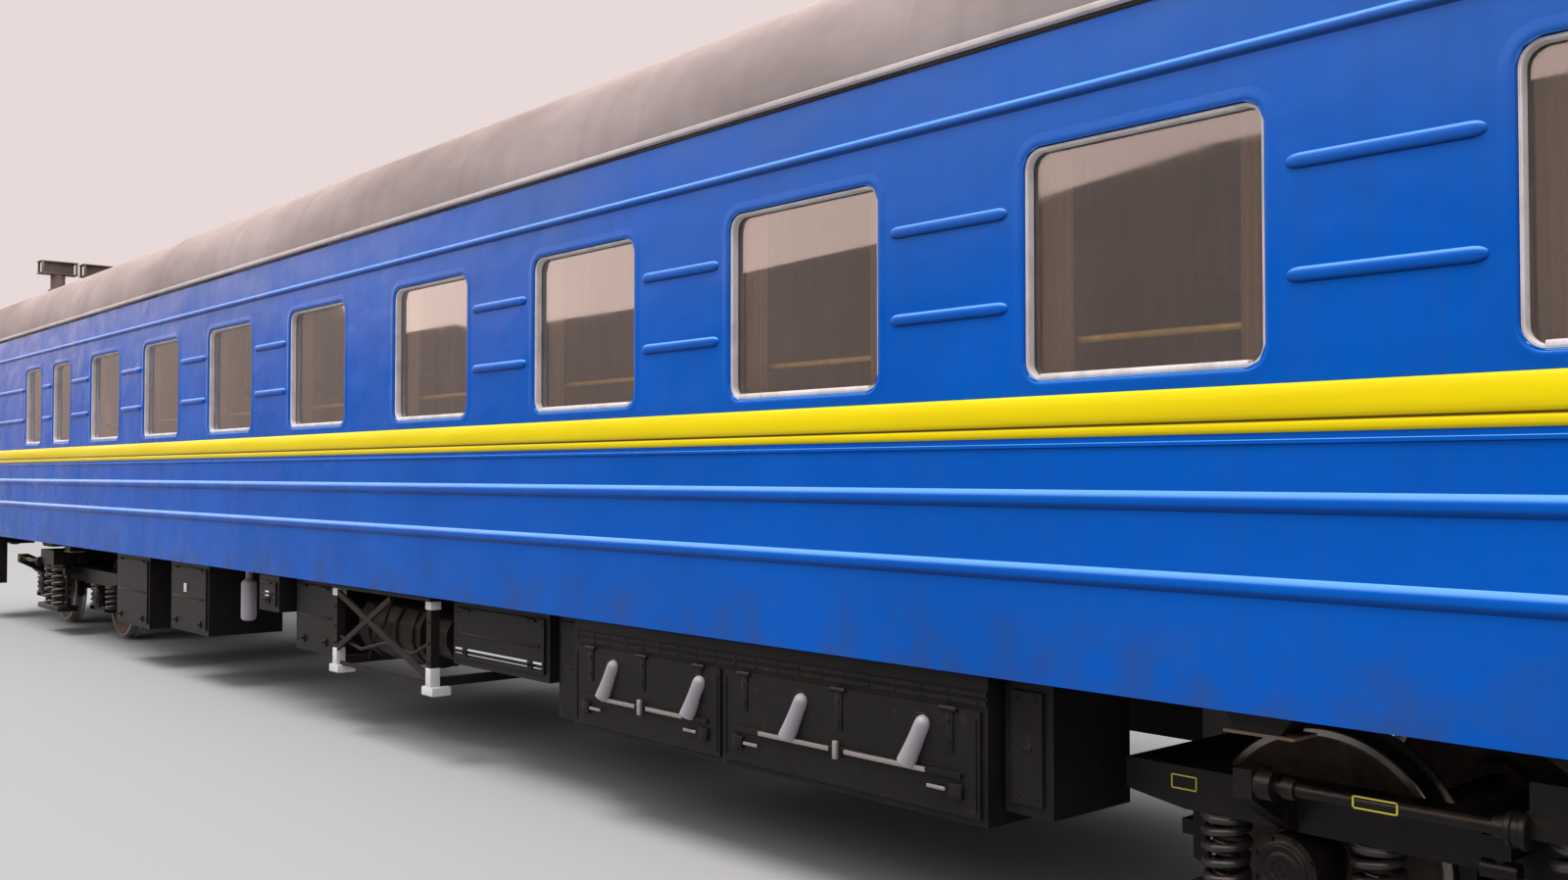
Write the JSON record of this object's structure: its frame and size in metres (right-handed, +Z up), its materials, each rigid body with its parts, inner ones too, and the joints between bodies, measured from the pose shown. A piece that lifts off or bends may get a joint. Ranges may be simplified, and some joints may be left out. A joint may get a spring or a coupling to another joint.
{
  "type": "passenger coach",
  "caption": "Long-distance sleeping coach on two bogies, with a ribbed, windowed body, a waist belt, side and end doors, gangways, buffers and couplers.",
  "frame": {"origin": "middle of the coach at the bottom of the wheel flanges; the rail head is at z = 0.028", "axes": "+X along the coach, to the right when the corridor side is looked at, the corridor side is -Y, +Z up"},
  "size_m": [24.537, 3.105, 4.653],
  "materials": {
    "blue_paint": "satin",
    "yellow_paint": "satin",
    "roof_paint": "weathered matt",
    "window_glass": "polished",
    "frame_paint": "dusty matt",
    "box_paint": "dusty satin",
    "grey_pipe": "satin",
    "rubber": "matt",
    "cast_steel": "rough",
    "lamp_glass": "polished",
    "floor_lino": "worn",
    "cream_laminate": "satin",
    "berth_vinyl": "satin",
    "table_top": "satin",
    "rail_steel": "brushed",
    "curtain_cloth": "woven",
    "bogie_paint": "dusty matt",
    "spring_steel": "satin",
    "wheel_steel": "worn"
  },
  "bodies": {
    "coach_body": {"side_wall_corridor": "blue_paint", "side_wall_compartment": "blue_paint", "end_walls": "blue_paint", "cantrails": "blue_paint", "waist_belts": "yellow_paint", "roof": "roof_paint", "roof_vents": "roof_paint", "window_glass_corridor": "window_glass", "window_glass_compartment": "window_glass", "underframe": "frame_paint", "door_steps": "frame_paint", "fall_plates": "frame_paint", "gear_hanger": "frame_paint", "battery_box": "box_paint", "equipment_boxes": "box_paint", "battery_vents": "grey_pipe", "air_reservoirs": "grey_pipe", "brake_rigging": "grey_pipe", "gangway_bellows": "rubber", "couplers": "cast_steel", "buffers": "cast_steel", "tail_lamps": "lamp_glass", "floor": "floor_lino", "ceiling": "cream_laminate", "partitions": "cream_laminate", "corridor_wall": "cream_laminate", "berths": "berth_vinyl", "tables": "table_top", "corridor_rail": "rail_steel", "curtains_corridor": "curtain_cloth", "curtains_compartment": "curtain_cloth"},
    "door_left_corridor": {"door_left_corridor_leaf": "blue_paint", "door_left_corridor_glass": "window_glass"},
    "door_right_corridor": {"door_right_corridor_leaf": "blue_paint", "door_right_corridor_glass": "window_glass"},
    "door_left_compartment": {"door_left_compartment_leaf": "blue_paint", "door_left_compartment_glass": "window_glass"},
    "door_right_compartment": {"door_right_compartment_leaf": "blue_paint", "door_right_compartment_glass": "window_glass"},
    "end_door_left": {"end_door_left_leaf": "blue_paint", "end_door_left_glass": "window_glass"},
    "end_door_right": {"end_door_right_leaf": "blue_paint", "end_door_right_glass": "window_glass"},
    "bogie_left": {"bogie_left_frame": "bogie_paint", "bogie_left_bolster": "bogie_paint", "bogie_left_springs": "spring_steel", "bogie_left_axle_boxes": "bogie_paint", "bogie_left_links": "bogie_paint", "bogie_left_brake_gear": "bogie_paint"},
    "wheelset_left_west": {"wheelset_left_west": "wheel_steel"},
    "wheelset_left_east": {"wheelset_left_east": "wheel_steel"},
    "bogie_right": {"bogie_right_frame": "bogie_paint", "bogie_right_bolster": "bogie_paint", "bogie_right_springs": "spring_steel", "bogie_right_axle_boxes": "bogie_paint", "bogie_right_links": "bogie_paint", "bogie_right_brake_gear": "bogie_paint"},
    "wheelset_right_west": {"wheelset_right_west": "wheel_steel"},
    "wheelset_right_east": {"wheelset_right_east": "wheel_steel"}
  },
  "joints": [
    {"name": "door_left_corridor_hinge", "type": "hinge", "parent": "coach_body", "child": "door_left_corridor", "pos_m": [-10.81, -1.4805, 1.34], "axis": [0, 0, -1], "range_deg": [0, 88]},
    {"name": "door_right_corridor_hinge", "type": "hinge", "parent": "coach_body", "child": "door_right_corridor", "pos_m": [10.81, -1.4805, 1.34], "axis": [0, 0, 1], "range_deg": [0, 88]},
    {"name": "door_left_compartment_hinge", "type": "hinge", "parent": "coach_body", "child": "door_left_compartment", "pos_m": [-10.81, 1.4805, 1.34], "axis": [0, 0, 1], "range_deg": [0, 88]},
    {"name": "door_right_compartment_hinge", "type": "hinge", "parent": "coach_body", "child": "door_right_compartment", "pos_m": [10.81, 1.4805, 1.34], "axis": [0, 0, -1], "range_deg": [0, 88]},
    {"name": "end_door_left_hinge", "type": "hinge", "parent": "coach_body", "child": "end_door_left", "pos_m": [-11.74, -0.33, 1.34], "axis": [0, 0, -1], "range_deg": [0, 88]},
    {"name": "end_door_right_hinge", "type": "hinge", "parent": "coach_body", "child": "end_door_right", "pos_m": [11.74, -0.33, 1.34], "axis": [0, 0, 1], "range_deg": [0, 88]},
    {"name": "bogie_left_swivel", "type": "hinge", "parent": "coach_body", "child": "bogie_left", "pos_m": [-8.5, 0, 1.01], "axis": [0, 0, 1], "range_deg": [-4, 4]},
    {"name": "wheelset_left_west_axle", "type": "hinge", "parent": "bogie_left", "child": "wheelset_left_west", "pos_m": [-9.7, 0, 0.503], "axis": [0, 1, 0], "continuous": true},
    {"name": "wheelset_left_east_axle", "type": "hinge", "parent": "bogie_left", "child": "wheelset_left_east", "pos_m": [-7.3, 0, 0.503], "axis": [0, 1, 0], "continuous": true},
    {"name": "bogie_right_swivel", "type": "hinge", "parent": "coach_body", "child": "bogie_right", "pos_m": [8.5, 0, 1.01], "axis": [0, 0, 1], "range_deg": [-4, 4]},
    {"name": "wheelset_right_west_axle", "type": "hinge", "parent": "bogie_right", "child": "wheelset_right_west", "pos_m": [7.3, 0, 0.503], "axis": [0, 1, 0], "continuous": true},
    {"name": "wheelset_right_east_axle", "type": "hinge", "parent": "bogie_right", "child": "wheelset_right_east", "pos_m": [9.7, 0, 0.503], "axis": [0, 1, 0], "continuous": true}
  ]
}
